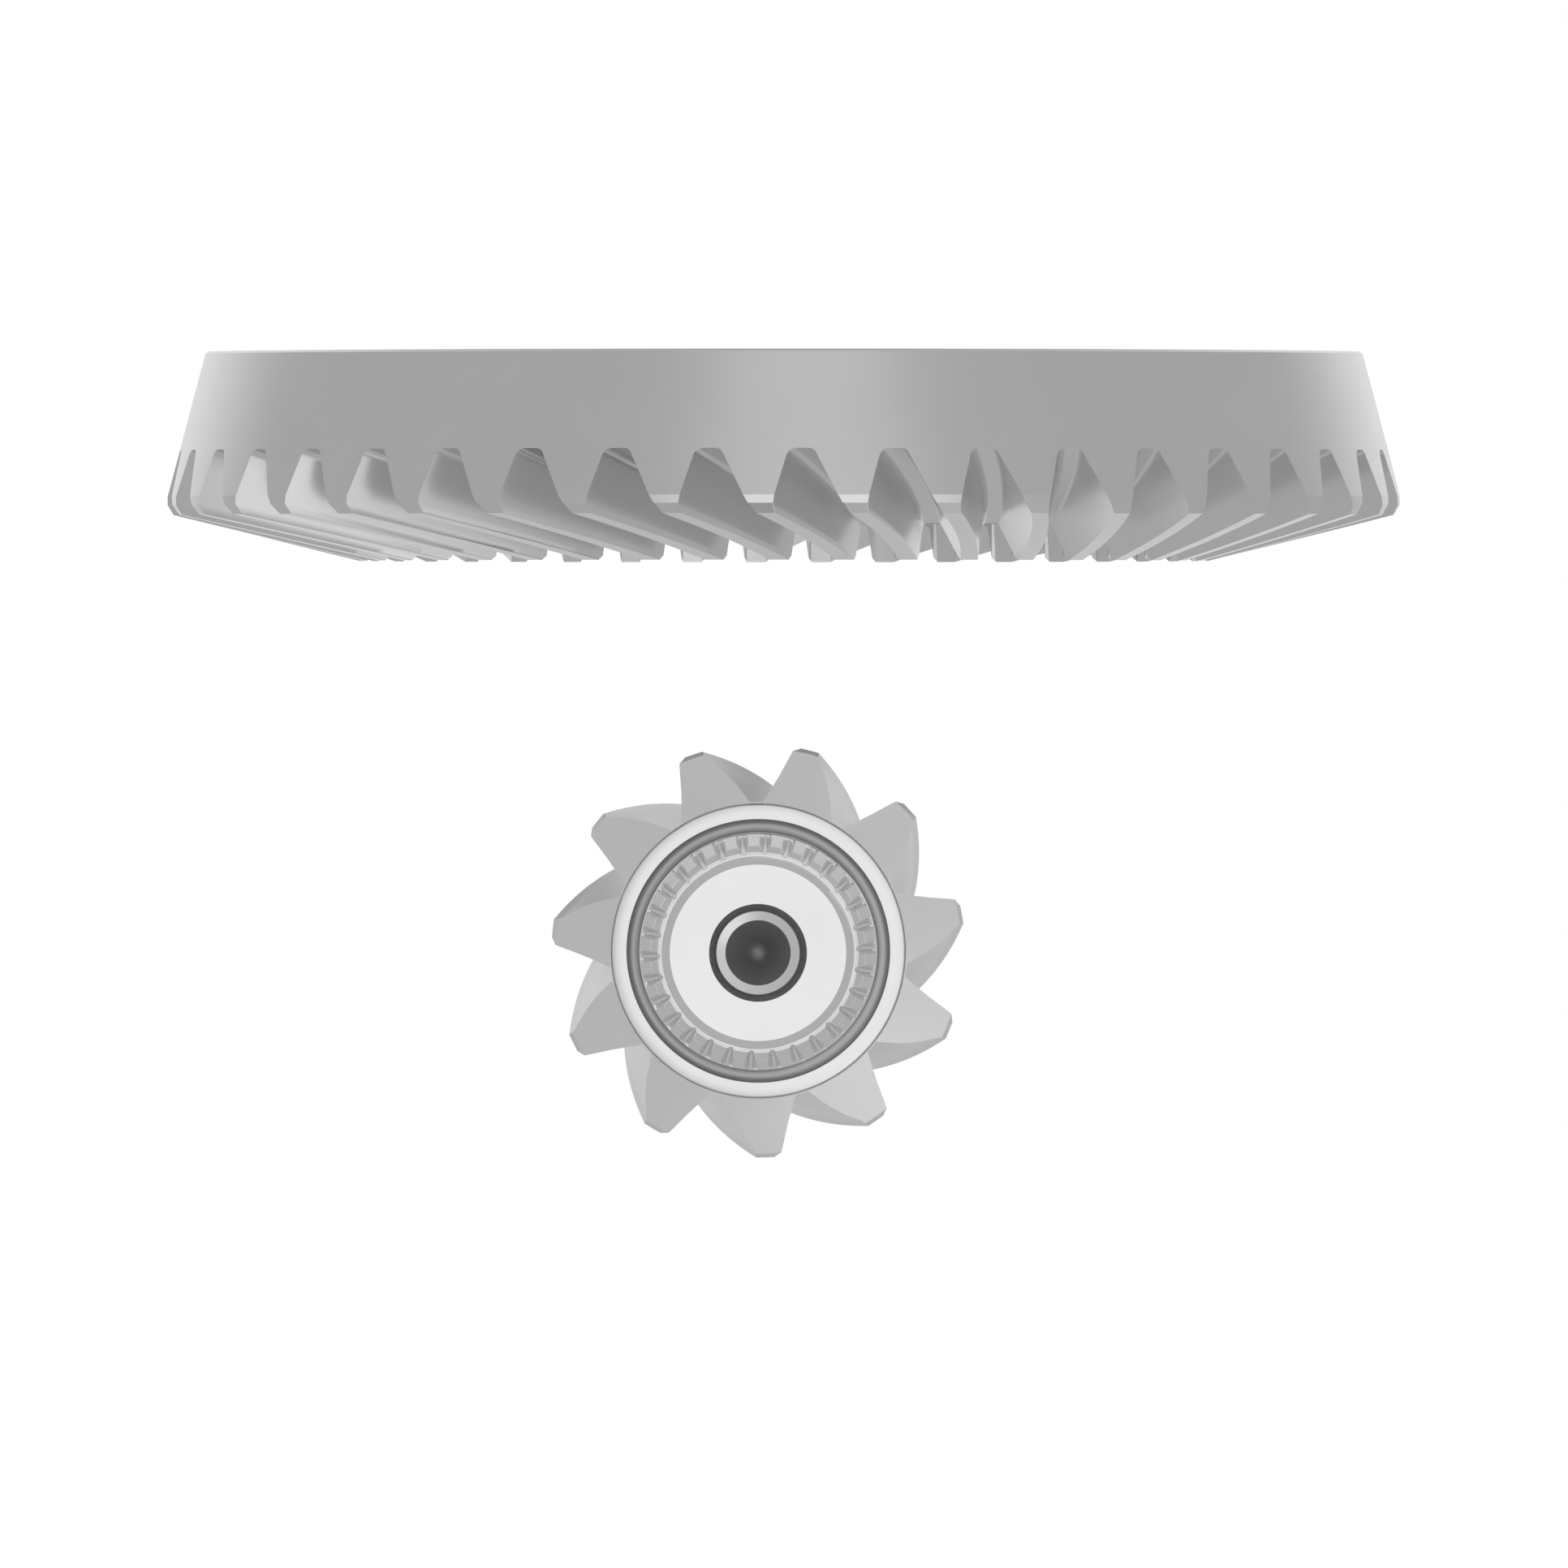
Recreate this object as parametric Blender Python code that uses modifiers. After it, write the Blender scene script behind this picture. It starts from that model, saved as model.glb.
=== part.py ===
"""Spiral ring-and-pinion gear set: a 41-tooth crown wheel, an 11-tooth pinion on its splined shaft, and the
pilot bearing on the pinion's nose. Metres, +Z up. The ring's axis is Z and its back face lies at z = 0 with
the teeth pointing down. The pinion's axis runs along Y below it, offset in X, and its shaft end points to -Y.
The pinion is drawn MESH_TRAVEL below its meshing height."""

import math

import bmesh
import bpy
import numpy as np
from mathutils import Matrix, Vector

# ---- gear pair ---------------------------------------------------------------------------------------------
RING_TEETH = 41
PINION_TEETH = 11
PINION_AXIS_DEPTH = 0.0543      # below the ring's back face, in mesh
MESH_TRAVEL = 0.0506            # from the drawn position up into mesh
PINION_OFFSET = -0.00447        # the pinion's axis in X
BACKLASH = 0.00020              # taken off each pinion flank

# ---- ring gear ---------------------------------------------------------------------------------------------
BACK_R = 0.10146                # outer edge of the back face
HEEL_R = 0.10835                # largest radius, at the end of the outer cone
HEEL_DEPTH = 0.0269             # depth below the back face where the outer cone ends
TIP_R = 0.1070                  # tooth tips at the heel, after the chamfer
TIP_DEPTH = 0.0287
FACE_SLOPE = 0.2466             # face cone: depth gained per unit of radius, going inward
ROOT_R = 0.1061                 # tooth space floor at the heel
ROOT_DEPTH = 0.0173
ROOT_SLOPE = 0.4025
TOE_R = 0.0739                  # inner end of the teeth
INNER_FLAT_R = 0.0734           # flat between the toes and the bore
INNER_FLAT_DEPTH = 0.0296
BORE_R = 0.0660
BORE_CHAMFER = 0.0010
REGISTER_R = 0.0695             # counterbore at the back
REGISTER_DEPTH = 0.0060
SPACE_HALF_WIDTH = 0.0022       # half of the flat floor between two teeth, at the heel
SPACE_SHARE = 0.35              # a space's share of the pitch left of its middle
DRIVE_FLANK = 0.154             # tangents of the two flank angles
COAST_FLANK = 0.584
FLOOR_FILLET = 0.0006           # height and width of the flat bevel at a space's floor
FLOOR_INSET = 0.0005
SPIRAL_BASE = 0.337             # the tooth trace: tangent of the spiral angle at radius r
SPIRAL_GAIN = 0.150             # is SPIRAL_BASE + SPIRAL_GAIN * r / MEAN_R
MEAN_R = 0.0900
RING_PHASE = math.radians(1.6)  # the first tooth space at the heel, from -Y towards +X
RING_STATIONS = 6
RING_SEGMENTS = 82
BOLT_COUNT = 10
BOLT_CIRCLE_R = 0.0825
BOLT_HOLE_R = 0.0044
BOLT_HOLE_DEPTH = 0.0150

# ---- thrust washer -----------------------------------------------------------------------------------------
WASHER_OUTER_R = 0.0692
WASHER_INNER_R = 0.0620
WASHER_TOP = -0.0026
WASHER_BOTTOM = -0.0057

# ---- pinion head: distances are along the axis from the ring's axis -----------------------------------------
HEEL_TIP = (0.1075, 0.0360)     # (distance, radius)
HEEL_ROOT = (0.1113, 0.0259)
TOE_TIP = (0.0744, 0.0227)
TOE_ROOT = (0.0768, 0.0167)
HUB_R = 0.0258
HUB_STEP = 0.0001               # the hub's edge stands this far out of the back cone
HUB_CHAMFER = 0.0006
TOE_CAP_R = 0.0150
TOE_CAP_STEP = 0.0004           # the toe's flat face, towards the heel from the floor's end
PINION_STATIONS = 9
TOOTH_MIDDLE = math.radians(15.06)      # a tooth's middle at the heel, from +Z towards +X
MIDDLE_LEVEL = 0.48                     # share of the tooth's height where its middle is taken
LOWEST_CONTACT = 0.30                   # the ring's teeth never reach lower than this share
# Both flanks of a tooth: share of its height, then degrees left and right of its middle.
TOOTH_OUTLINE = ((0.0, -13.25, 14.30), (0.31, -9.71, 10.36), (0.55, -7.74, 7.20), (0.80, -6.03, 3.60),
                 (1.0, -4.90, 1.20))

# ---- pinion shaft ------------------------------------------------------------------------------------------
NOSE_SHOULDER_R = 0.0120
NOSE_R = 0.0090
NOSE_END = 0.0555
NOSE_CHAMFER = 0.0010
NOSE_SHOULDER = 0.0716
SNAP_GROOVE_R = 0.0082
SNAP_GROOVE = (0.05690, 0.05860)
JOURNAL_R = 0.02064
FRONT_JOURNAL_R = 0.02038
FILLET_R = 0.0023
REAR_JOURNAL_END = 0.1440
SPACER_LAND_R = 0.0201
LAND_CHAMFER = 0.0006
FRONT_JOURNAL_START = 0.1880
SPLINE_SHOULDER = 0.2080
SHOULDER_LENGTH = 0.0033        # the cone between the spline and the front journal
SPLINE_R = 0.01857
SPLINE_FLOOR_R = 0.01730
SPLINE_END = 0.2420
SPLINE_COUNT = 30
SPLINE_PHASE = math.radians(3.8)
SPLINE_WIDTH = 0.00136
SPLINE_TOP_WIDTH = 0.00225
RUNOUT_LENGTH = 0.0075
RUNOUT_RISE = 0.0002            # the groove's floor ends this far above the journal
RUNOUT_STATIONS = (0.35, 0.7, 1.0)
NECK_R = 0.0158
NECK_LENGTH = 0.0030
STUB_R = 0.0171
STUB_END = 0.2640
END_FACE_R = 0.01517
CENTRE_R = (0.00837, 0.00723, 0.00553)
CENTRE_DEPTH = (0.0, 0.0007, 0.0036, 0.0120)
SHAFT_STEPS = 60
OVERLAP = 0.0010                # how far joined or cut shapes run past each other

# ---- pilot bearing -----------------------------------------------------------------------------------------
BEARING = (0.0586, 0.0713)      # its two faces, as distances from the ring's axis
INNER_RACE_R = (0.0093, 0.0120)
OUTER_RACE_R = (0.0170, 0.0200)
ROLLER_COUNT = 13
ROLLER_R = 0.0022
ROLLER_CIRCLE_R = 0.0145
ROLLER_LENGTH = 0.0090
CAGE_R = (0.0133, 0.0157)
CAGE_LENGTH = 0.0120
POCKET_GAP = 0.0003
SNAP_RING_R = (0.0085, 0.0113)
SNAP_RING = (0.05720, 0.05830)
SNAP_OPENING = math.radians(50)
RACE_BREAK = 0.0005
BEARING_STEPS = 36

FULL_TURN = 2 * math.pi
PINION_AXIS = Vector((PINION_OFFSET, 0.0, -PINION_AXIS_DEPTH - MESH_TRAVEL))


# ---- scene helpers -----------------------------------------------------------------------------------------
def clear_scene():
    for item in list(bpy.data.objects):
        bpy.data.objects.remove(item, do_unlink=True)


def new_collection(name):
    group = bpy.data.collections.new(name)
    bpy.context.scene.collection.children.link(group)
    return group


def steel(name, grey, roughness):
    made = bpy.data.materials.new(name)
    made.use_nodes = True
    shader = made.node_tree.nodes["Principled BSDF"]
    shader.inputs["Base Color"].default_value = (grey, grey, grey, 1.0)
    shader.inputs["Roughness"].default_value = roughness
    shader.inputs["Metallic"].default_value = 1.0
    return made


def add_object(name, bm, group, material=None):
    """A mesh object from a bmesh, with its faces turned outward."""
    bmesh.ops.recalc_face_normals(bm, faces=bm.faces)
    mesh = bpy.data.meshes.new(name)
    bm.to_mesh(mesh)
    bm.free()
    if material:
        mesh.materials.append(material)
    made = bpy.data.objects.new(name, mesh)
    group.objects.link(made)
    return made


def boolean(target, other, operation):
    cut = target.modifiers.new(operation.title(), "BOOLEAN")
    cut.object = other
    cut.operation = operation
    cut.solver = "EXACT"


def as_cutter(item):
    item.hide_render = True
    item.display_type = "WIRE"
    return item


def turned(name, profile, steps, group, material=None):
    """A closed (radius, height) outline turned about Z with a Screw modifier."""
    bm = bmesh.new()
    verts = [bm.verts.new((radius, 0.0, height)) for radius, height in profile]
    closed = min(radius for radius, height in profile) > 0
    for a, b in zip(verts, verts[1:] + verts[:1] if closed else verts[1:]):
        bm.edges.new((a, b))
    mesh = bpy.data.meshes.new(name)
    bm.to_mesh(mesh)
    bm.free()
    if material:
        mesh.materials.append(material)
    made = bpy.data.objects.new(name, mesh)
    group.objects.link(made)
    screw = made.modifiers.new("Turn", "SCREW")
    screw.angle = FULL_TURN
    screw.steps = steps
    screw.render_steps = steps
    screw.use_merge_vertices = True
    screw.merge_threshold = 0.00001
    screw.use_smooth_shade = False
    return made


def along_pinion(item):
    """Lays an object made along Z on the pinion's axis, its +Z pointing to -Y and its origin at the ring."""
    item.matrix_world = Matrix.Translation(PINION_AXIS) @ Matrix.Rotation(math.radians(90), 4, "X")
    return item


# ---- tooth geometry ----------------------------------------------------------------------------------------
def space_angle(r):
    """The middle of a tooth space's floor at radius r, from -Y towards +X."""
    return RING_PHASE + SPIRAL_BASE * np.log(ROOT_R / r) + SPIRAL_GAIN * (ROOT_R - r) / MEAN_R


def tip_depth(r):
    return TIP_DEPTH + (TIP_R - r) * FACE_SLOPE


def floor_depth(r):
    return ROOT_DEPTH + (ROOT_R - r) * ROOT_SLOPE


def space_half_width(r):
    return SPACE_HALF_WIDTH * r / ROOT_R


def ring_depth(r, phi):
    """How deep the ring's steel reaches at radius r and angle phi."""
    pitch = FULL_TURN * r / RING_TEETH
    start = SPACE_SHARE * pitch
    side = np.mod(r * (phi - space_angle(r)) + start, pitch) - start
    half = space_half_width(r)
    climb = np.maximum((-side - half) / DRIVE_FLANK, (side - half) / COAST_FLANK)
    return np.minimum(floor_depth(r) + np.maximum(climb, 0.0), tip_depth(r))


def mesh_clearance(angles, radius, distance):
    """The least room between points of the pinion and the ring's teeth while the two roll together."""
    turn = np.radians(np.linspace(-30, 30, 361))[None, :]
    polar = angles[:, None] + turn * RING_TEETH / PINION_TEETH
    x = PINION_OFFSET + radius * np.sin(polar)
    depth = PINION_AXIS_DEPTH - radius * np.cos(polar)
    steel_depth = ring_depth(np.hypot(x, distance), np.arctan2(x, distance) - turn)
    return (depth - steel_depth).min(axis=1)


def tooth_edges(radius, distance, near):
    """The two angles where a pinion tooth's flanks lie at this radius and distance, next to the angle near."""
    pitch = FULL_TURN / PINION_TEETH
    sweep = np.linspace(0.0, pitch, 481)
    gap = near + sweep[np.argmin(mesh_clearance(near + sweep, radius, distance))]
    angles = gap + sweep
    room = mesh_clearance(angles, radius, distance)
    solid = np.nonzero(room > 0)[0]
    first, last = solid[0], solid[-1]
    step = sweep[1]
    left = angles[first] - step * room[first] / (room[first] - room[first - 1])
    right = angles[last] + step * room[last] / (room[last] - room[last + 1])
    shift = round((near - (left + right) / 2) / pitch) * pitch
    trim = BACKLASH / radius
    return left + shift + trim, right + shift - trim


def lerp(a, b, share):
    return tuple(p + (q - p) * share for p, q in zip(a, b))


def pinion_level(level, share):
    """(distance, radius) at a share of a tooth's height and a share of its length from the heel."""
    return lerp(lerp(HEEL_ROOT, HEEL_TIP, level), lerp(TOE_ROOT, TOE_TIP, level), share)


def tooth_middle(share, near):
    distance, radius = pinion_level(MIDDLE_LEVEL, share)
    return sum(tooth_edges(radius, distance, near)) / 2


# ---- lofting -----------------------------------------------------------------------------------------------
def add_loop(bm, points):
    return [bm.verts.new(point) for point in points]


def loft(bm, a, b):
    """Quads between two loops of the same count."""
    count = len(a)
    for i in range(count):
        j = (i + 1) % count
        bm.faces.new((a[i], a[j], b[j], b[i]))


def zip_loops(bm, a, a_angles, b, b_angles):
    """Triangles between two loops of different counts, matched by angle."""
    count_a, count_b = len(a), len(b)
    begin = int(np.searchsorted(b_angles, a_angles[0]) - 1)
    i = j = 0
    while i < count_a or j < count_b:
        here_b = begin + j
        next_a = a_angles[(i + 1) % count_a] + FULL_TURN * ((i + 1) // count_a)
        next_b = b_angles[(here_b + 1) % count_b] + FULL_TURN * ((here_b + 1) // count_b)
        corner_a, corner_b = a[i % count_a], b[here_b % count_b]
        if i < count_a and (j >= count_b or next_a <= next_b):
            bm.faces.new((corner_a, a[(i + 1) % count_a], corner_b))
            i += 1
        else:
            bm.faces.new((corner_a, b[(here_b + 1) % count_b], corner_b))
            j += 1


# ---- ring gear ---------------------------------------------------------------------------------------------
def ring_point(r, phi, depth):
    return (r * math.sin(phi), -r * math.cos(phi), -depth)


def outer_radius(depth):
    """The blank's outer profile: the outer cone, then the chamfer to the tooth tips."""
    if depth <= HEEL_DEPTH:
        return BACK_R + (HEEL_R - BACK_R) * depth / HEEL_DEPTH
    return HEEL_R + (TIP_R - HEEL_R) * (depth - HEEL_DEPTH) / (TIP_DEPTH - HEEL_DEPTH)


def space_section(share):
    """One tooth space as (radius, angle from its own middle at the heel, depth), tip to tip; share runs from
    0 at the heel to 1 at the toe."""
    def place(depth_at, side):
        r = ROOT_R
        for _ in range(4):
            heel = outer_radius(depth_at(r))
            r = heel + (TOE_R - heel) * share
        depth = depth_at(r)
        rise = depth - floor_depth(r)
        slope = DRIVE_FLANK if side < 0 else COAST_FLANK
        return r, float(space_angle(r)) + side * (space_half_width(r) + rise * slope) / r, depth

    def band(r):
        return floor_depth(r) + (tip_depth(r) - floor_depth(r)) * band_share

    def fillet(r):
        return floor_depth(r) + FLOOR_FILLET

    heel_height = TIP_DEPTH - floor_depth(HEEL_R)
    band_share = (HEEL_DEPTH - floor_depth(HEEL_R)) / heel_height
    left = [place(level, -1) for level in (tip_depth, band, fillet)]
    right = [place(level, 1) for level in (fillet, band, tip_depth)]
    floor = []
    for side in (-1, 1):
        r, phi, depth = place(floor_depth, side)
        floor.append((r, phi - side * FLOOR_INSET / r, depth))
    return left + floor + right


def build_ring(group, cutters, material):
    pitch = FULL_TURN / RING_TEETH
    bm = bmesh.new()
    rows = []
    for station in range(RING_STATIONS):
        section = space_section(station / (RING_STATIONS - 1))
        rows.append([(r, phi + k * pitch, depth) for k in range(RING_TEETH) for r, phi, depth in section])
    loops = [add_loop(bm, [ring_point(*spot) for spot in row]) for row in rows]
    for a, b in zip(loops, loops[1:]):
        loft(bm, a, b)

    size = len(loops[0]) // RING_TEETH
    outline = [i for i in range(len(loops[0])) if i % size not in (0, size - 1)]
    heel, count = loops[0], len(loops[0])
    for k in range(RING_TEETH):
        band_right, tip_right = heel[k * size + size - 2], heel[k * size + size - 1]
        tip_left, band_left = heel[(k + 1) * size % count], heel[((k + 1) * size + 1) % count]
        bm.faces.new((band_right, tip_right, tip_left, band_left))

    turn = [FULL_TURN * i / RING_SEGMENTS for i in range(RING_SEGMENTS)]
    inner = ((BACK_R, 0.0), (REGISTER_R, 0.0), (REGISTER_R, REGISTER_DEPTH), (BORE_R, REGISTER_DEPTH),
             (BORE_R, INNER_FLAT_DEPTH - BORE_CHAMFER), (BORE_R + BORE_CHAMFER, INNER_FLAT_DEPTH),
             (INNER_FLAT_R, INNER_FLAT_DEPTH))
    rings = [add_loop(bm, [ring_point(r, a, depth) for a in turn]) for r, depth in inner]
    for a, b in zip(rings, rings[1:]):
        loft(bm, a, b)
    zip_loops(bm, [heel[i] for i in outline], [rows[0][i][1] for i in outline], rings[0], turn)
    toe_angles = [spot[1] for spot in rows[-1]]
    zip_loops(bm, loops[-1], toe_angles, rings[-1], turn)
    ring = add_object("ring_gear", bm, group, material)

    bm = bmesh.new()
    for k in range(BOLT_COUNT):
        angle = FULL_TURN * (k + 0.5) / BOLT_COUNT
        made = bmesh.ops.create_cone(bm, cap_ends=True, segments=16, radius1=BOLT_HOLE_R, radius2=BOLT_HOLE_R,
                                     depth=2 * BOLT_HOLE_DEPTH)
        bmesh.ops.translate(bm, verts=made["verts"], vec=ring_point(BOLT_CIRCLE_R, angle, 0.0))
    boolean(ring, as_cutter(add_object("bolt_hole_cutter", bm, cutters)), "DIFFERENCE")
    return ring


def build_washer(group, material):
    profile = ((WASHER_OUTER_R, WASHER_TOP), (WASHER_OUTER_R, WASHER_BOTTOM),
               (WASHER_INNER_R, WASHER_BOTTOM), (WASHER_INNER_R, WASHER_TOP))
    return turned("ring_thrust_washer", profile, RING_SEGMENTS, group, material)


# ---- pinion ------------------------------------------------------------------------------------------------
def pinion_section(share, middle, turn):
    """One pinion tooth as (distance, radius, angle) from root to root, at a share of the way heel to toe: its
    own outline, kept clear of the ring's teeth wherever they roll past. middle is where the ring's spaces put
    the tooth, and turn is how far the tooth sits from there."""
    lefts, rights = [], []
    for level, left, right in TOOTH_OUTLINE:
        distance, radius = pinion_level(level, share)
        left, right = middle + turn + math.radians(left), middle + turn + math.radians(right)
        if level > LOWEST_CONTACT:
            low, high = tooth_edges(radius, distance, middle)
            left, right = max(left, low), min(right, high)
        lefts.append((distance, radius, left))
        rights.append((distance, radius, right))
    return lefts + rights[::-1]


def pinion_point(distance, radius, angle):
    """A point of the pinion while it is made along Z, with its axis on Z and the shaft end up."""
    return (radius * math.sin(angle), radius * math.cos(angle), distance)


def build_pinion_head(cutters):
    pitch = FULL_TURN / PINION_TEETH
    bm = bmesh.new()
    rows = []
    middle = tooth_middle(0.0, TOOTH_MIDDLE)
    turn_on = TOOTH_MIDDLE - middle
    for station in range(PINION_STATIONS):
        share = station / (PINION_STATIONS - 1)
        middle = tooth_middle(share, middle)
        section = pinion_section(share, middle, turn_on)
        rows.append([(d, r, a + k * pitch) for k in range(PINION_TEETH) for d, r, a in section])
    loops = [add_loop(bm, [pinion_point(*spot) for spot in row]) for row in rows]
    for a, b in zip(loops, loops[1:]):
        loft(bm, a, b)
    segments = 6 * PINION_TEETH
    turn = [rows[0][0][2] + FULL_TURN * i / segments for i in range(segments)]
    hub = [add_loop(bm, [pinion_point(HEEL_ROOT[0] + step, HUB_R - step, a) for a in turn])
           for step in (HUB_STEP, HUB_CHAMFER)]
    loft(bm, *hub)
    bm.faces.new(hub[1])
    zip_loops(bm, loops[0], [spot[2] for spot in rows[0]], hub[0], turn)
    turn = [rows[-1][0][2] + FULL_TURN * i / segments for i in range(segments)]
    cap = add_loop(bm, [pinion_point(TOE_ROOT[0] + TOE_CAP_STEP, TOE_CAP_R, a) for a in turn])
    bm.faces.new(cap)
    zip_loops(bm, loops[-1], [spot[2] for spot in rows[-1]], cap, turn)
    return add_object("pinion_head", bm, cutters)


def arc(centre, radius, start, end, steps):
    """Points on an arc, angles in degrees, start and end included."""
    spots = []
    for i in range(steps + 1):
        angle = math.radians(start + (end - start) * i / steps)
        spots.append((centre[0] + radius * math.cos(angle), centre[1] + radius * math.sin(angle)))
    return spots


def shaft_profile():
    """The shaft's outline from the threaded end down to the nose, as (radius, distance)."""
    hub_face = HEEL_ROOT[0] + HUB_CHAMFER
    bore = [(0.0, STUB_END - CENTRE_DEPTH[3]), (CENTRE_R[2], STUB_END - CENTRE_DEPTH[3] + CENTRE_R[2] / 2),
            (CENTRE_R[2], STUB_END - CENTRE_DEPTH[2]), (CENTRE_R[1], STUB_END - CENTRE_DEPTH[1]),
            (CENTRE_R[0], STUB_END)]
    stub = [(END_FACE_R, STUB_END), (STUB_R, STUB_END - (STUB_R - END_FACE_R)),
            (STUB_R, SPLINE_END + NECK_LENGTH), (NECK_R, SPLINE_END + NECK_LENGTH), (NECK_R, SPLINE_END),
            (SPLINE_FLOOR_R, SPLINE_END), (SPLINE_R, SPLINE_END - (SPLINE_R - SPLINE_FLOOR_R))]
    journals = [(SPLINE_R, SPLINE_SHOULDER), (FRONT_JOURNAL_R, SPLINE_SHOULDER - SHOULDER_LENGTH),
                (FRONT_JOURNAL_R, FRONT_JOURNAL_START),
                (SPACER_LAND_R, FRONT_JOURNAL_START - LAND_CHAMFER),
                (SPACER_LAND_R, REAR_JOURNAL_END + LAND_CHAMFER),
                (JOURNAL_R, REAR_JOURNAL_END), (JOURNAL_R, hub_face + FILLET_R)]
    centre = (JOURNAL_R + FILLET_R, hub_face + FILLET_R)
    fillet = arc(centre, FILLET_R, 198, 270, 4)
    buried = hub_face - OVERLAP
    inside = [(JOURNAL_R + FILLET_R, buried), (NOSE_SHOULDER_R, buried)]
    nose = [(NOSE_SHOULDER_R, NOSE_SHOULDER), (NOSE_R, NOSE_SHOULDER), (NOSE_R, SNAP_GROOVE[1]),
            (SNAP_GROOVE_R, SNAP_GROOVE[1]), (SNAP_GROOVE_R, SNAP_GROOVE[0]), (NOSE_R, SNAP_GROOVE[0]),
            (NOSE_R, NOSE_END + NOSE_CHAMFER), (NOSE_R - NOSE_CHAMFER, NOSE_END), (0.0, NOSE_END)]
    return bore + stub + journals + fillet + inside + nose


def build_spline_cutter(cutters):
    """The grooves, each a wedge-sided bar whose floor lifts out along an arc at the shoulder."""
    bm = bmesh.new()
    top = FRONT_JOURNAL_R + OVERLAP
    lift = FRONT_JOURNAL_R + RUNOUT_RISE - SPLINE_FLOOR_R
    stations = [(SPLINE_END + OVERLAP, 0.0), (SPLINE_SHOULDER, 0.0)]
    for share in RUNOUT_STATIONS:
        stations.append((SPLINE_SHOULDER - RUNOUT_LENGTH * share, lift * share ** 2))
    grow = (SPLINE_TOP_WIDTH - SPLINE_WIDTH) / 2 / (SPLINE_R - SPLINE_FLOOR_R)
    for k in range(SPLINE_COUNT):
        angle = SPLINE_PHASE + FULL_TURN * k / SPLINE_COUNT
        turn = Matrix.Rotation(-angle, 3, "Z")
        loops = []
        for distance, rise in stations:
            floor = SPLINE_FLOOR_R + rise
            low = SPLINE_WIDTH / 2 + grow * rise
            high = SPLINE_WIDTH / 2 + grow * (top - SPLINE_FLOOR_R)
            corners = ((-low, floor), (low, floor), (high, top), (-high, top))
            loops.append(add_loop(bm, [turn @ Vector((x, y, distance)) for x, y in corners]))
        for a, b in zip(loops, loops[1:]):
            loft(bm, a, b)
        bm.faces.new(loops[0])
        bm.faces.new(loops[-1])
    return add_object("spline_cutter", bm, cutters)


def build_pinion(group, cutters, material):
    shaft = turned("pinion_shaft", shaft_profile(), SHAFT_STEPS, group, material)
    head = as_cutter(along_pinion(build_pinion_head(cutters)))
    grooves = as_cutter(along_pinion(build_spline_cutter(cutters)))
    along_pinion(shaft)
    boolean(shaft, grooves, "DIFFERENCE")
    boolean(shaft, head, "UNION")
    return shaft


# ---- pilot bearing -----------------------------------------------------------------------------------------
def broken_ring(inner_r, outer_r, low, high):
    """A ring's section with small chamfers on all four corners, running down its outer side first."""
    b = RACE_BREAK
    return ((outer_r - b, high), (outer_r, high - b), (outer_r, low + b), (outer_r - b, low),
            (inner_r + b, low), (inner_r, low + b), (inner_r, high - b), (inner_r + b, high))


def build_race(name, radii, group, material):
    return along_pinion(turned(name, broken_ring(*radii, *BEARING), BEARING_STEPS, group, material))


def bearing_middle():
    return sum(BEARING) / 2


def add_roller(bm, index, radius, length):
    angle = FULL_TURN * index / ROLLER_COUNT
    made = bmesh.ops.create_cone(bm, cap_ends=True, segments=14, radius1=radius, radius2=radius, depth=length)
    bmesh.ops.translate(bm, verts=made["verts"], vec=pinion_point(bearing_middle(), ROLLER_CIRCLE_R, angle))


def build_rollers(group, material):
    for index in range(ROLLER_COUNT):
        bm = bmesh.new()
        add_roller(bm, index, ROLLER_R, ROLLER_LENGTH)
        along_pinion(add_object(f"pilot_roller_{index + 1:02d}", bm, group, material))


def build_cage(group, cutters, material):
    middle = bearing_middle()
    inner_r, outer_r = CAGE_R
    low, high = middle - CAGE_LENGTH / 2, middle + CAGE_LENGTH / 2
    profile = ((outer_r, high), (outer_r, low), (inner_r, low), (inner_r, high))
    cage = along_pinion(turned("pilot_cage", profile, BEARING_STEPS, group, material))
    bm = bmesh.new()
    for index in range(ROLLER_COUNT):
        add_roller(bm, index, ROLLER_R + POCKET_GAP, ROLLER_LENGTH + 2 * POCKET_GAP)
    boolean(cage, as_cutter(along_pinion(add_object("pocket_cutter", bm, cutters))), "DIFFERENCE")
    return cage


def build_snap_ring(group, cutters, material):
    inner_r, outer_r = SNAP_RING_R
    low, high = SNAP_RING
    profile = ((outer_r, high), (outer_r, low), (inner_r, low), (inner_r, high))
    ring = along_pinion(turned("pilot_snap_ring", profile, BEARING_STEPS, group, material))
    reach = 2 * outer_r
    half = SNAP_OPENING / 2
    bm = bmesh.new()
    corners = ((0.0, 0.0), (reach * math.sin(-half), -reach * math.cos(half)),
               (reach * math.sin(half), -reach * math.cos(half)))
    ends = [add_loop(bm, [(x, y, height) for x, y in corners]) for height in (low - OVERLAP, high + OVERLAP)]
    loft(bm, *ends)
    bm.faces.new(ends[0])
    bm.faces.new(ends[1])
    wedge = as_cutter(along_pinion(add_object("snap_opening_cutter", bm, cutters)))
    boolean(ring, wedge, "DIFFERENCE")
    return ring


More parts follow.
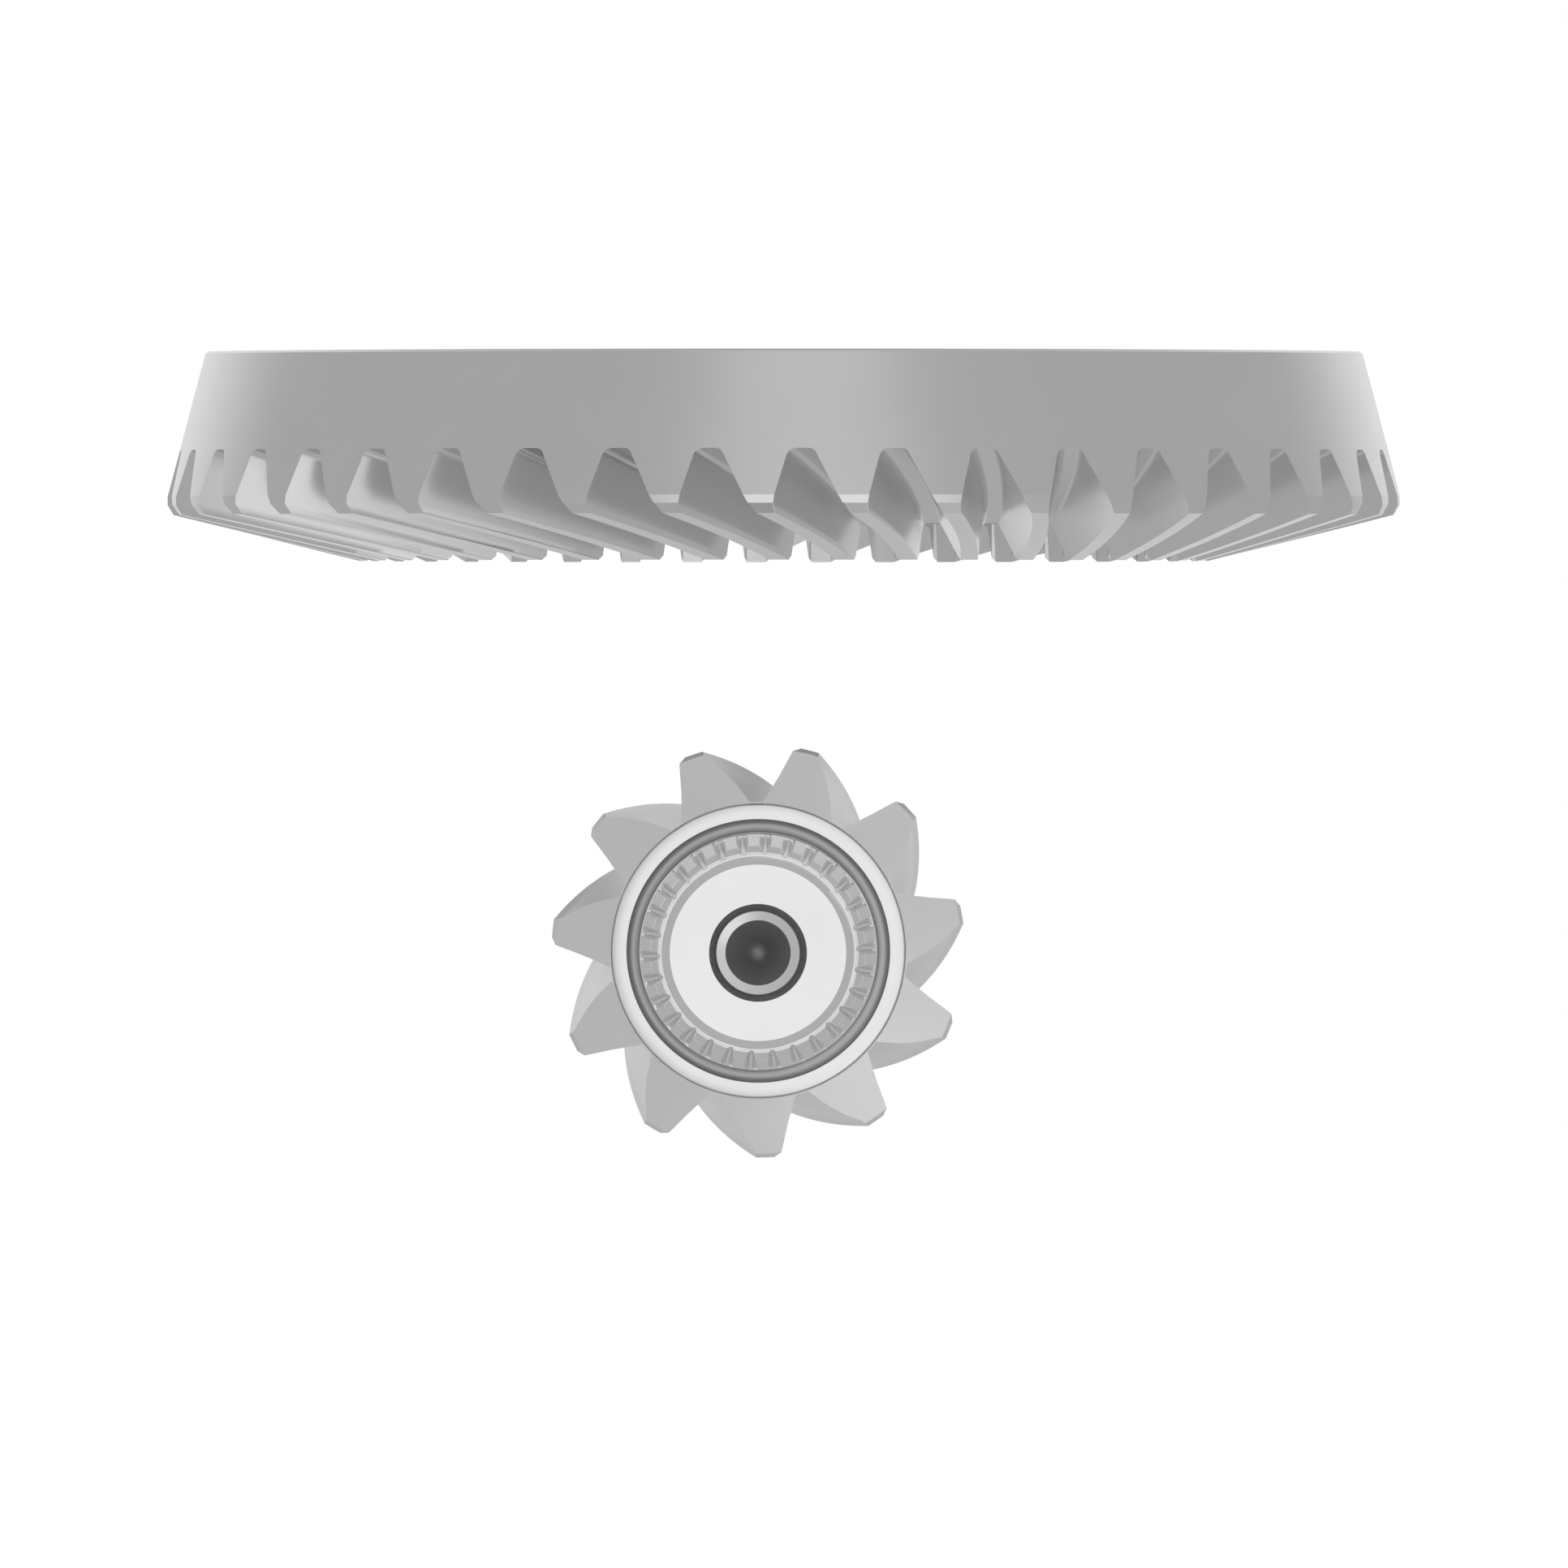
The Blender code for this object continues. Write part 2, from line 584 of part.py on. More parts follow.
def main():
    clear_scene()
    parts = new_collection("ring_and_pinion")
    cutters = new_collection("cutters")
    gear = steel("machined_steel", 0.62, 0.28)
    race = steel("ground_steel", 0.70, 0.18)
    pressed = steel("pressed_steel", 0.45, 0.38)
    build_ring(parts, cutters, gear)
    build_washer(parts, pressed)
    build_pinion(parts, cutters, gear)
    build_race("pilot_inner_race", INNER_RACE_R, parts, race)
    build_rollers(parts, race)
    build_cage(parts, cutters, pressed)
    build_race("pilot_outer_race", OUTER_RACE_R, parts, race)
    build_snap_ring(parts, cutters, pressed)


main()
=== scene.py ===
"""Looks of the spiral ring-and-pinion gear set: fine meshes for the gears, the shaft and the pilot bearing,
machined-steel materials, studio light and camera. Metres, +Z up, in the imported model's frame."""

import math

import bmesh
import bpy
import numpy as np
from mathutils import Matrix, Vector


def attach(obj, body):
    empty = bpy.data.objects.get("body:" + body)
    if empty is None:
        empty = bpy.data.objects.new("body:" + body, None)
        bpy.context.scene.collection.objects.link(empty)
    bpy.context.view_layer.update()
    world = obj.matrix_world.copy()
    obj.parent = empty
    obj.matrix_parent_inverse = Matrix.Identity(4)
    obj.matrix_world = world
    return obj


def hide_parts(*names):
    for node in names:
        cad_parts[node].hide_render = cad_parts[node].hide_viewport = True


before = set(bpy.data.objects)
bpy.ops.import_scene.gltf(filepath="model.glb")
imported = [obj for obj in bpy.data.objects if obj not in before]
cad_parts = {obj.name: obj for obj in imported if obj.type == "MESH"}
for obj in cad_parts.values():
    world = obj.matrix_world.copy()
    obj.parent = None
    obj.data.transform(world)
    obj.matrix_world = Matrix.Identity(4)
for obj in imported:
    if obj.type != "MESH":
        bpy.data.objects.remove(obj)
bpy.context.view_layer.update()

TAU = 2 * math.pi

# ---- gear pair (the same driving dimensions as the CAD model) ----------------------------------------------
RING_TEETH = 41
PINION_TEETH = 11
PINION_AXIS_DEPTH = 0.0543
MESH_TRAVEL = 0.0506
PINION_OFFSET = -0.00447
BACKLASH = 0.00013

BACK_R = 0.10146
HEEL_R = 0.1082
CONE_END = 0.02544
BAND_END = 0.02689
TIP_R = 0.1070
TIP_DEPTH = 0.0287
FACE_SLOPE = 0.2466
ROOT_R = 0.1061
ROOT_DEPTH = 0.0173
ROOT_SLOPE = 0.4025
TOE_R = 0.0739
TOE_FACET = 0.0009
INNER_FLAT_DEPTH = 0.0296
BORE_R = 0.0660
REGISTER_R = 0.0695
REGISTER_DEPTH = 0.0060
SPACE_HALF_WIDTH = 0.0022
SPACE_SHARE = 0.35              # of the pitch, on the drive side of a space's middle
DRIVE_FLANK = 0.154
COAST_FLANK = 0.584
SPIRAL_BASE = 0.337
SPIRAL_GAIN = 0.150
MEAN_R = 0.0900
RING_PHASE = math.radians(1.6)
RING_FILLET = 0.0017
TOE_FILLET_SHARE = 0.55         # the fillet's radius at the toe, as a share of the heel's
EDGE_BREAK = 0.00012
BACK_BEVEL = 0.0004
INNER_BEVEL = 0.0006
BOLT_COUNT = 10
BOLT_CIRCLE_R = 0.0825
BOLT_HOLE_R = 0.0044
BOLT_HOLE_DEPTH = 0.0150
THREAD_PITCH = 0.0015

HEEL_TIP = (0.1075, 0.0360)
HEEL_ROOT = (0.1113, 0.0259)
TOE_TIP = (0.0744, 0.0227)
TOE_ROOT = (0.0768, 0.0167)
HEEL_CHAMFER_LEVEL = 0.935
HEEL_CHAMFER_DROP = 0.0008
HUB_R = 0.0258
TOOTH_MIDDLE = math.radians(15.06)
MIDDLE_LEVEL = 0.48
# A pinion tooth's two flanks: share of the tooth's height, then degrees left and right of its middle.
TOOTH_OUTLINE = ((0.00, -13.25, 14.30), (0.05, -12.66, 13.70), (0.17, -11.17, 12.06), (0.31, -9.71, 10.36),
                 (0.48, -8.19, 8.09), (0.66, -6.91, 5.65), (0.83, -5.84, 3.17), (0.935, -5.30, 2.05),
                 (1.00, -4.90, 1.20))

PINION_AXIS = Vector((PINION_OFFSET, 0.0, -PINION_AXIS_DEPTH - MESH_TRAVEL))


# ---- mesh builder ------------------------------------------------------------------------------------------
class Shell:
    """Collects rows of points and the faces between them, then makes one mesh object."""

    def __init__(self):
        self.points = []
        self.faces = []

    def row(self, points):
        start = len(self.points)
        self.points.extend(tuple(map(float, point)) for point in points)
        return list(range(start, len(self.points)))

    def loft(self, a, b):
        count = len(a)
        for i in range(count):
            j = (i + 1) % count
            self.faces.append((a[i], a[j], b[j], b[i]))

    def zip_rows(self, a, a_angles, b, b_angles):
        """Triangles between two closed rows of different counts, matched by angle."""
        count_a, count_b = len(a), len(b)
        begin = int(np.searchsorted(b_angles, a_angles[0]) - 1)
        i = j = 0
        while i < count_a or j < count_b:
            here = begin + j
            next_a = a_angles[(i + 1) % count_a] + TAU * ((i + 1) // count_a)
            next_b = b_angles[(here + 1) % count_b] + TAU * ((here + 1) // count_b)
            if i < count_a and (j >= count_b or next_a <= next_b):
                self.faces.append((a[i % count_a], a[(i + 1) % count_a], b[here % count_b]))
                i += 1
            else:
                self.faces.append((a[i % count_a], b[(here + 1) % count_b], b[here % count_b]))
                j += 1

    def cap(self, row):
        self.faces.append(tuple(row))

    def build(self, name, sharp=30.0):
        mesh = bpy.data.meshes.new(name)
        mesh.from_pydata(self.points, [], self.faces)
        bm = bmesh.new()
        bm.from_mesh(mesh)
        bmesh.ops.recalc_face_normals(bm, faces=bm.faces)
        bm.to_mesh(mesh)
        bm.free()
        mesh.shade_smooth()
        mesh.set_sharp_from_angle(angle=math.radians(sharp))
        made = bpy.data.objects.new(name, mesh)
        bpy.context.scene.collection.objects.link(made)
        return made


def lay_on_pinion_axis(item):
    """Lays an object made along Z on the pinion's axis, its +Z pointing to -Y and its origin at the ring."""
    item.matrix_world = Matrix.Translation(PINION_AXIS) @ Matrix.Rotation(math.radians(90), 4, "X")
    return item


def around_z(r, angle, height):
    """A point on the pinion's own axis system: angles run from +Z towards +X once the piece is laid down."""
    return (r * math.sin(angle), r * math.cos(angle), height)


def turned(name, outline, segments, sharp=30.0):
    """A closed (radius, height) outline turned about Z, its last point joined to the first."""
    shell = Shell()
    turn = [TAU * i / segments for i in range(segments)]
    rows = [shell.row([around_z(r, a, h) for a in turn]) for r, h in outline]
    for a, b in zip(rows, rows[1:] + rows[:1]):
        shell.loft(a, b)
    return shell.build(name, sharp)


def arc(centre, radius, start, end, steps):
    """Points on an arc in (radius, height), angles in degrees, both ends included."""
    spots = []
    for i in range(steps + 1):
        angle = math.radians(start + (end - start) * i / steps)
        spots.append((centre[0] + radius * math.cos(angle), centre[1] + radius * math.sin(angle)))
    return spots


def rounded_ring(inner_r, outer_r, low, high, radius, steps=4):
    """A ring's section with its four corners rounded."""
    return (arc((outer_r - radius, high - radius), radius, 90, 0, steps)
            + arc((outer_r - radius, low + radius), radius, 0, -90, steps)
            + arc((inner_r + radius, low + radius), radius, -90, -180, steps)
            + arc((inner_r + radius, high - radius), radius, 180, 90, steps))


# ---- tooth geometry ----------------------------------------------------------------------------------------
def space_angle(r):
    return RING_PHASE + SPIRAL_BASE * np.log(ROOT_R / r) + SPIRAL_GAIN * (ROOT_R - r) / MEAN_R


def tip_depth(r):
    return TIP_DEPTH + (TIP_R - r) * FACE_SLOPE


def floor_depth(r):
    return ROOT_DEPTH + (ROOT_R - r) * ROOT_SLOPE


def space_half_width(r):
    return SPACE_HALF_WIDTH * r / ROOT_R


def ring_depth(r, phi):
    pitch = TAU * r / RING_TEETH
    start = SPACE_SHARE * pitch
    side = np.mod(r * (phi - space_angle(r)) + start, pitch) - start
    half = space_half_width(r)
    climb = np.maximum((-side - half) / DRIVE_FLANK, (side - half) / COAST_FLANK)
    return np.minimum(floor_depth(r) + np.maximum(climb, 0.0), tip_depth(r))


def mesh_clearance(angles, radius, distance):
    """The least room between points of the pinion and the ring's teeth while the two roll together."""
    turn = np.radians(np.linspace(-30, 30, 361))[None, :]
    polar = angles[:, None] + turn * RING_TEETH / PINION_TEETH
    x = PINION_OFFSET + radius * np.sin(polar)
    depth = PINION_AXIS_DEPTH - radius * np.cos(polar)
    steel_depth = ring_depth(np.hypot(x, distance), np.arctan2(x, distance) - turn)
    return (depth - steel_depth).min(axis=1)


def tooth_edges(radius, distance, near):
    """The angles of a pinion tooth's two flanks at this radius and distance, for the tooth nearest to near."""
    pitch = TAU / PINION_TEETH
    sweep = np.linspace(0.0, pitch, 481)
    gap = near + sweep[np.argmin(mesh_clearance(near + sweep, radius, distance))]
    angles = gap + sweep
    room = mesh_clearance(angles, radius, distance)
    solid = np.nonzero(room > 0)[0]
    first, last = solid[0], solid[-1]
    step = sweep[1]
    left = angles[first] - step * room[first] / (room[first] - room[first - 1])
    right = angles[last] + step * room[last] / (room[last] - room[last + 1])
    shift = round((near - (left + right) / 2) / pitch) * pitch
    trim = BACKLASH / radius
    return left + shift + trim, right + shift - trim


# ---- ring gear ---------------------------------------------------------------------------------------------
RING_STATIONS = 21
LAND_COLUMNS = 4
FLANK_STEPS = 5
FILLET_STEPS = 5
FLANK_START = 0.22              # shares of a tooth's height: the flank's first level and its last
FLANK_LAST = 0.985
LAND_INSET = 0.03               # the land's outer columns stand this share in from its edges
PROFILE_ROUNDS = 6              # repeats that settle a point's radius and depth on the blank


def heel_radius(depth):
    """The blank's outer profile: outer cone, narrow band, chamfer to the tips."""
    return np.interp(depth, (0.0, CONE_END, BAND_END, TIP_DEPTH), (BACK_R, HEEL_R, HEEL_R, TIP_R))


def toe_radius(depth):
    """The inner ends of the teeth: a cylinder with a facet at the tips."""
    facet_start = float(tip_depth(TOE_R)) - TOE_FACET
    return TOE_R + np.maximum(depth - facet_start, 0.0)


def level_share(r, depth):
    return (depth - floor_depth(r)) / (tip_depth(r) - floor_depth(r))


def fillet_share(r):
    return TOE_FILLET_SHARE + (1 - TOE_FILLET_SHARE) * (r - TOE_R) / (HEEL_R - TOE_R)


def section_levels():
    """Half of a tooth space's outline, floor to tip, as functions (radius, share) -> (side offset, rise)."""
    cone_share = level_share(HEEL_R, CONE_END)
    band_share = level_share(HEEL_R, BAND_END)
    facet_share = level_share(TOE_R, tip_depth(TOE_R) - TOE_FACET)

    def on_floor(portion):
        def spot(r, share, slope, half, height, fillet):
            lean = math.atan(slope)
            start = half + fillet * (math.sin(lean) - 1) / math.cos(lean)
            return start * portion, 0.0
        return spot

    def on_fillet(portion):
        def spot(r, share, slope, half, height, fillet):
            lean = math.atan(slope)
            centre = half + fillet * (math.sin(lean) - 1) / math.cos(lean)
            angle = -math.pi / 2 + (math.pi / 2 - lean) * portion
            return centre + fillet * math.cos(angle), fillet * (1 + math.sin(angle))
        return spot

    def on_flank(level_at):
        def spot(r, share, slope, half, height, fillet):
            rise = height * level_at(share)
            return half + rise * slope, rise
        return spot

    def between(low, high):
        return lambda share: low + (high - low) * share

    levels = [on_floor(0.0), on_floor(1.0)]
    levels += [on_fillet((i + 1) / FILLET_STEPS) for i in range(FILLET_STEPS)]
    for i in range(1, FLANK_STEPS):
        level = FLANK_START + (cone_share - FLANK_START) * i / FLANK_STEPS
        levels.append(on_flank(between(level, level)))
    levels.append(on_flank(between(cone_share, cone_share)))
    levels.append(on_flank(between(band_share, facet_share)))
    levels.append(on_flank(between(FLANK_LAST, FLANK_LAST)))
    return levels


def ring_rows():
    """All tooth-space outlines from heel to toe: an array of (radius, angle, depth) per station and point."""
    levels = section_levels()
    specs = [(level, -1) for level in reversed(levels[1:])] + [(levels[0], 1)] + [(l, 1) for l in levels[1:]]
    shares = 0.5 - 0.5 * np.cos(np.linspace(0, math.pi, RING_STATIONS))
    shares = 0.5 * shares + 0.5 * np.linspace(0, 1, RING_STATIONS)
    rows = []
    for share in shares:
        section = []
        for level, side in specs:
            slope = DRIVE_FLANK if side < 0 else COAST_FLANK
            r = ROOT_R + (TOE_R - ROOT_R) * share
            for _ in range(PROFILE_ROUNDS):
                floor = float(floor_depth(r))
                height = float(tip_depth(r)) - floor
                offset, rise = level(r, share, slope, float(space_half_width(r)), height,
                                     RING_FILLET * fillet_share(r))
                depth = floor + rise
                r = float(heel_radius(depth)) * (1 - share) + float(toe_radius(depth)) * share
            section.append((r, float(space_angle(r)) + side * offset / r, depth))
        rows.append(section)
    return rows, len(specs)


def ring_xyz(r, phi, depth):
    return (r * math.sin(phi), -r * math.cos(phi), -depth)


def with_lands(section, pitch):
    """Adds the tip land's columns between one space and the next, on the face cone."""
    first, last = section[0], section[-1]
    goal = (first[0], first[1] + pitch, first[2])
    land = []
    for i in range(LAND_COLUMNS + 1):
        share = i / LAND_COLUMNS
        inset = LAND_INSET + (1 - 2 * LAND_INSET) * share
        r = last[0] + (goal[0] - last[0]) * share
        land.append((r, last[1] + (goal[1] - last[1]) * inset, float(tip_depth(r))))
    return section + land


def build_ring():
    pitch = TAU / RING_TEETH
    sections, size = ring_rows()
    shell = Shell()
    full = [with_lands(section, pitch) for section in sections]
    width = len(full[0])
    spots = [[(r, phi + k * pitch, depth) for k in range(RING_TEETH) for r, phi, depth in section]
             for section in full]
    rows = [shell.row([ring_xyz(*spot) for spot in row]) for row in spots]
    for a, b in zip(rows, rows[1:]):
        shell.loft(a, b)

    # Heel: the band and the chamfer of each tooth, in columns that follow the blank's curve.
    heel, heel_spots = rows[0], spots[0]
    outline, outline_spots = [], []
    for k in range(RING_TEETH):
        base = k * width
        nxt = (k + 1) * width
        outline += [heel[base + i] for i in range(2, size - 2)]
        outline_spots += [heel_spots[base + i] for i in range(2, size - 2)]
        columns = LAND_COLUMNS + 1
        lines = []
        for step, depth in ((3, CONE_END), (2, BAND_END)):
            left = base + size - step
            right = (nxt + step - 1) % len(heel)
            a = heel_spots[left][1]
            b = heel_spots[right][1] + (TAU if right < left else 0.0)
            span = (b - a) * (1 - 2 * LAND_INSET)
            inner = [(float(heel_radius(depth)), a + (b - a) * LAND_INSET + span * i / LAND_COLUMNS, depth)
                     for i in range(columns)]
            ids = shell.row([ring_xyz(*spot) for spot in inner])
            lines.append([heel[left]] + ids + [heel[right]])
            if step == 3:
                outline += ids
                outline_spots += inner
        tips = [heel[(base + size - 1 + i) % len(heel)] for i in range(columns + 2)]
        for upper, lower in ((lines[0], lines[1]), (lines[1], tips)):
            for i in range(columns + 1):
                shell.faces.append((upper[i], upper[i + 1], lower[i + 1], lower[i]))

    # Outer wall, back face, register and bore.
    angles = [spot[1] for spot in outline_spots]
    previous = outline
    for depth, inset in ((BACK_BEVEL, 0.0), (0.0, BACK_BEVEL)):
        r = float(heel_radius(depth)) - inset
        line = shell.row([ring_xyz(r, a, depth) for a in angles])
        shell.loft(previous, line)
        previous = line
    segments = 6 * RING_TEETH
    turn = [TAU * i / segments for i in range(segments)]
    inner = ((REGISTER_R + INNER_BEVEL, 0.0), (REGISTER_R, INNER_BEVEL), (REGISTER_R, REGISTER_DEPTH),
             (BORE_R + INNER_BEVEL, REGISTER_DEPTH), (BORE_R, REGISTER_DEPTH + INNER_BEVEL),
             (BORE_R, INNER_FLAT_DEPTH - 0.001), (BORE_R + 0.001, INNER_FLAT_DEPTH))
    lines = [shell.row([ring_xyz(r, a, depth) for a in turn]) for r, depth in inner]
    shell.zip_rows(previous, angles, lines[0], turn)
    for a, b in zip(lines, lines[1:]):
        shell.loft(a, b)
    toe_angles = [spot[1] for spot in spots[-1]]
    foot = shell.row([ring_xyz(TOE_R, a, INNER_FLAT_DEPTH + 0.0004) for a in toe_angles])
    shell.loft(rows[-1], foot)
    flat = shell.row([ring_xyz(TOE_R - 0.0006, a, INNER_FLAT_DEPTH) for a in toe_angles])
    shell.loft(foot, flat)
    shell.zip_rows(flat, toe_angles, lines[-1], turn)
    ring = shell.build("ring_gear_fine")
    cut_bolt_holes(ring)
    return ring


def cut_bolt_holes(ring):
    """Countersunk, threaded blind holes in the back face."""
    shell = Shell()
    segments = 24
    minor = BOLT_HOLE_R - 0.0004
    outline = [(BOLT_HOLE_R + 0.0014, 0.0010), (BOLT_HOLE_R + 0.0004, 0.0), (BOLT_HOLE_R, -0.0006)]
    turns = int((BOLT_HOLE_DEPTH - 0.003) / THREAD_PITCH)
    for i in range(turns):
        top = -0.0006 - THREAD_PITCH * i
        outline += [(minor, top - 0.5 * THREAD_PITCH), (BOLT_HOLE_R, top - THREAD_PITCH)]
    outline += [(minor, -BOLT_HOLE_DEPTH + 0.001)]
    for k in range(BOLT_COUNT):
        phi = TAU * (k + 0.5) / BOLT_COUNT
        cx, cy, _ = ring_xyz(BOLT_CIRCLE_R, phi, 0.0)
        rows = [shell.row([(cx + r * math.cos(TAU * i / segments), cy + r * math.sin(TAU * i / segments), z)
                           for i in range(segments)]) for r, z in outline]
        for a, b in zip(rows, rows[1:]):
            shell.loft(a, b)
        shell.cap(rows[0])
        shell.cap(rows[-1])
    cutter = shell.build("bolt_cutter")
    cut = ring.modifiers.new("Bolt holes", "BOOLEAN")
    cut.object = cutter
    cut.operation = "DIFFERENCE"
    cut.solver = "EXACT"
    apply_modifiers(ring)
    bpy.data.objects.remove(cutter, do_unlink=True)
    ring.data.shade_smooth()
    ring.data.set_sharp_from_angle(angle=math.radians(30))
    true_blank(ring.data)


def true_blank(mesh):
    """Exact cone normals on the blank's outer faces, whatever the widths of the columns there."""
    profile = ((0.0, BACK_R), (CONE_END, HEEL_R), (BAND_END, HEEL_R), (TIP_DEPTH, TIP_R))
    normals = [(0.0, 0.0, 0.0)] * len(mesh.loops)
    for face in mesh.polygons:
        depth = -face.center.z
        radius = math.hypot(face.center.x, face.center.y)
        if abs(radius - float(heel_radius(depth))) > 0.0001:
            continue
        for (top, r_top), (low, r_low) in zip(profile, profile[1:]):
            if not top < depth < low:
                continue
            along = math.hypot(low - top, r_low - r_top)
            out, up = (low - top) / along, (r_low - r_top) / along
            for loop in face.loop_indices:
                spot = mesh.vertices[mesh.loops[loop].vertex_index].co
                r = math.hypot(spot.x, spot.y)
                normal = Vector((out * spot.x / r, out * spot.y / r, up))
                if normal.dot(face.normal) > 0.98:
                    normals[loop] = tuple(normal)
    mesh.normals_split_custom_set(normals)


def apply_modifiers(item):
    evaluated = item.evaluated_get(bpy.context.evaluated_depsgraph_get())
    mesh = bpy.data.meshes.new_from_object(evaluated)
    item.modifiers.clear()
    item.data = mesh


# ---- pinion ------------------------------------------------------------------------------------------------
PINION_LEVELS = (0.0, 0.07, 0.17, 0.31, 0.40, MIDDLE_LEVEL, 0.57, 0.66, 0.75, 0.84, HEEL_CHAMFER_LEVEL, 1.0)
LOWEST_CONTACT = 0.30           # the ring's teeth never reach lower than this share of the pinion's
PINION_SAMPLES = 11
PINION_STATIONS = 31
TOE_LAND_COLUMNS = 4


def lerp(a, b, share):
    return tuple(p + (q - p) * share for p, q in zip(a, b))


def pinion_level(level, share):
    """(distance, radius) of a tooth level at a share of the way from heel to toe."""
    return lerp(lerp(HEEL_ROOT, HEEL_TIP, level), lerp(TOE_ROOT, TOE_TIP, level), share)


def pinion_flanks():
    """Polynomials along the tooth for both flank angles at each level: the tooth's own outline, kept clear of
    the ring's teeth wherever they roll past."""
    samples = np.linspace(0, 1, PINION_SAMPLES)
    outline = np.array(TOOTH_OUTLINE)
    table = np.zeros((PINION_SAMPLES, len(PINION_LEVELS), 2))
    near, shift = TOOTH_MIDDLE, None
    for s, share in enumerate(samples):
        distance, radius = pinion_level(MIDDLE_LEVEL, share)
        near = sum(tooth_edges(radius, distance, near)) / 2
        if shift is None:
            shift = TOOTH_MIDDLE - near
        for n, level in enumerate(PINION_LEVELS):
            sides = [near + shift + math.radians(np.interp(level, outline[:, 0], outline[:, column]))
                     for column in (1, 2)]
            if level > LOWEST_CONTACT:
                distance, radius = pinion_level(level, share)
                left, right = tooth_edges(radius, distance, near)
                sides = [max(sides[0], left), min(sides[1], right)]
            table[s, n] = sides
    return [[np.polynomial.Polynomial.fit(samples, table[:, n, side], 5) for side in range(2)]
            for n in range(len(PINION_LEVELS))]


def pinion_row(share, flanks):
    """One tooth from floor to floor as (distance, radius, angle) at a share of the way from heel to toe. The
    heel's tips are chamfered, so there the tip points lie a little further along."""
    left, right = [], []
    for n, level in enumerate(PINION_LEVELS):
        distance, radius = pinion_level(level, share)
        drop = HEEL_CHAMFER_DROP * (1 - share) if level == 1.0 else 0.0
        along = share + drop / (HEEL_TIP[0] - TOE_TIP[0])
        if level == 1.0:
            radius -= EDGE_BREAK
        left.append((distance - drop, radius, float(flanks[n][0](along))))
        right.append((distance - drop, radius, float(flanks[n][1](along))))
    distance, radius, a = left[-1]
    b = right[-1][2]
    inset = EDGE_BREAK / radius
    land = [(distance, radius + EDGE_BREAK, a + inset + (b - a - 2 * inset) * i / TOE_LAND_COLUMNS)
            for i in range(TOE_LAND_COLUMNS + 1)]
    distance, radius = pinion_level(0.0, share)
    floor = (right[0][2] + left[0][2] + TAU / PINION_TEETH) / 2
    return left + land + right[::-1] + [(distance, radius, floor)]


SPLINE_COUNT = 30
SPLINE_PHASE = math.radians(3.8)
GROOVE_COLUMNS = (-5.4, -4.7, -4.0, -3.5, -3.15, -2.7, -2.2, -1.6, -0.8, 0.0,
                  0.8, 1.6, 2.2, 2.7, 3.15, 3.5, 4.0, 4.7, 5.4)
SPLINE_R = 0.01857
SPLINE_FLOOR_R = 0.01687
SPLINE_END_R = 0.01730
SPLINE_END = 0.2420
SPLINE_SHOULDER = 0.2080
GROOVE_HALF_WIDTH = 0.00088
GROOVE_WALL_POWER = 2.6         # how square the grooves' floors are
RUNOUT_LENGTH = 0.0062
RUNOUT_CONE = 0.0030            # length of the cone between the splines and the front journal
JOURNAL_R = 0.02064
FRONT_JOURNAL_R = 0.02038
FRONT_JOURNAL_START = 0.1880
REAR_JOURNAL_END = 0.1440
SPACER_LAND_R = 0.0201
FILLET_R = 0.0023                # width of the grinding groove at the bearing shoulder
UNDERCUT = 0.0009
SHOULDER_FACE = 0.1119
NECK_R = 0.0158
STUB_R = 0.0166
STUB_START = 0.2450
STUB_END = 0.2640
END_FACE_R = 0.01517
THREAD_ROWS = 8
THREAD_DEPTH = 0.0009
THREAD_STOP = 0.0014            # the thread ends this far short of the end face
STUB_CHAMFER = 0.0017
NECK_FILLET = 0.0006
CENTRE_GUARD_R = 0.0084         # the centre hole's wide mouth, and its depth
CENTRE_GUARD_DEPTH = 0.0033
NOSE_SHOULDER_R = 0.0120
NOSE_R = 0.0090
NOSE_END = 0.0555
NOSE_SHOULDER = 0.0716
SNAP_GROOVE_R = 0.0082
SNAP_GROOVE = (0.05690, 0.05860)


def column_angles():
    step = TAU / SPLINE_COUNT
    return [SPLINE_PHASE + step * k + math.radians(offset) for k in range(SPLINE_COUNT)
            for offset in GROOVE_COLUMNS]


def groove_offset(angle):
    """Signed angle from the nearest groove's middle."""
    step = TAU / SPLINE_COUNT
    return (angle - SPLINE_PHASE + step / 2) % step - step / 2


def spline_cut(radius, distance, angle):
    """The surface radius once the groove is cut: a round-bottomed groove that lifts out at the shoulder."""
    if distance > SPLINE_END + 0.00001 or distance < SPLINE_SHOULDER - RUNOUT_LENGTH:
        return radius
    past = max(SPLINE_SHOULDER - distance, 0.0) / RUNOUT_LENGTH
    floor = SPLINE_FLOOR_R + (FRONT_JOURNAL_R - SPLINE_FLOOR_R) * past ** 2
    across = abs(groove_offset(angle)) * radius / GROOVE_HALF_WIDTH
    wall = floor + (SPLINE_R - SPLINE_FLOOR_R) * across ** GROOVE_WALL_POWER
    return min(radius, wall)


def thread_cut(radius, distance, angle):
    """A helical thread on the stub, fading out at both ends."""
    if not STUB_START < distance < STUB_END - THREAD_STOP:
        return radius
    turn = ((distance / THREAD_PITCH - angle / TAU) % 1.0)
    groove = abs(2 * turn - 1)
    fade = min(1.0, (distance - STUB_START) / 0.0012, (STUB_END - THREAD_STOP - distance) / 0.0008)
    return radius - THREAD_DEPTH * max(fade, 0.0) * min(1.0, max(0.0, 1.1 * groove - 0.05))


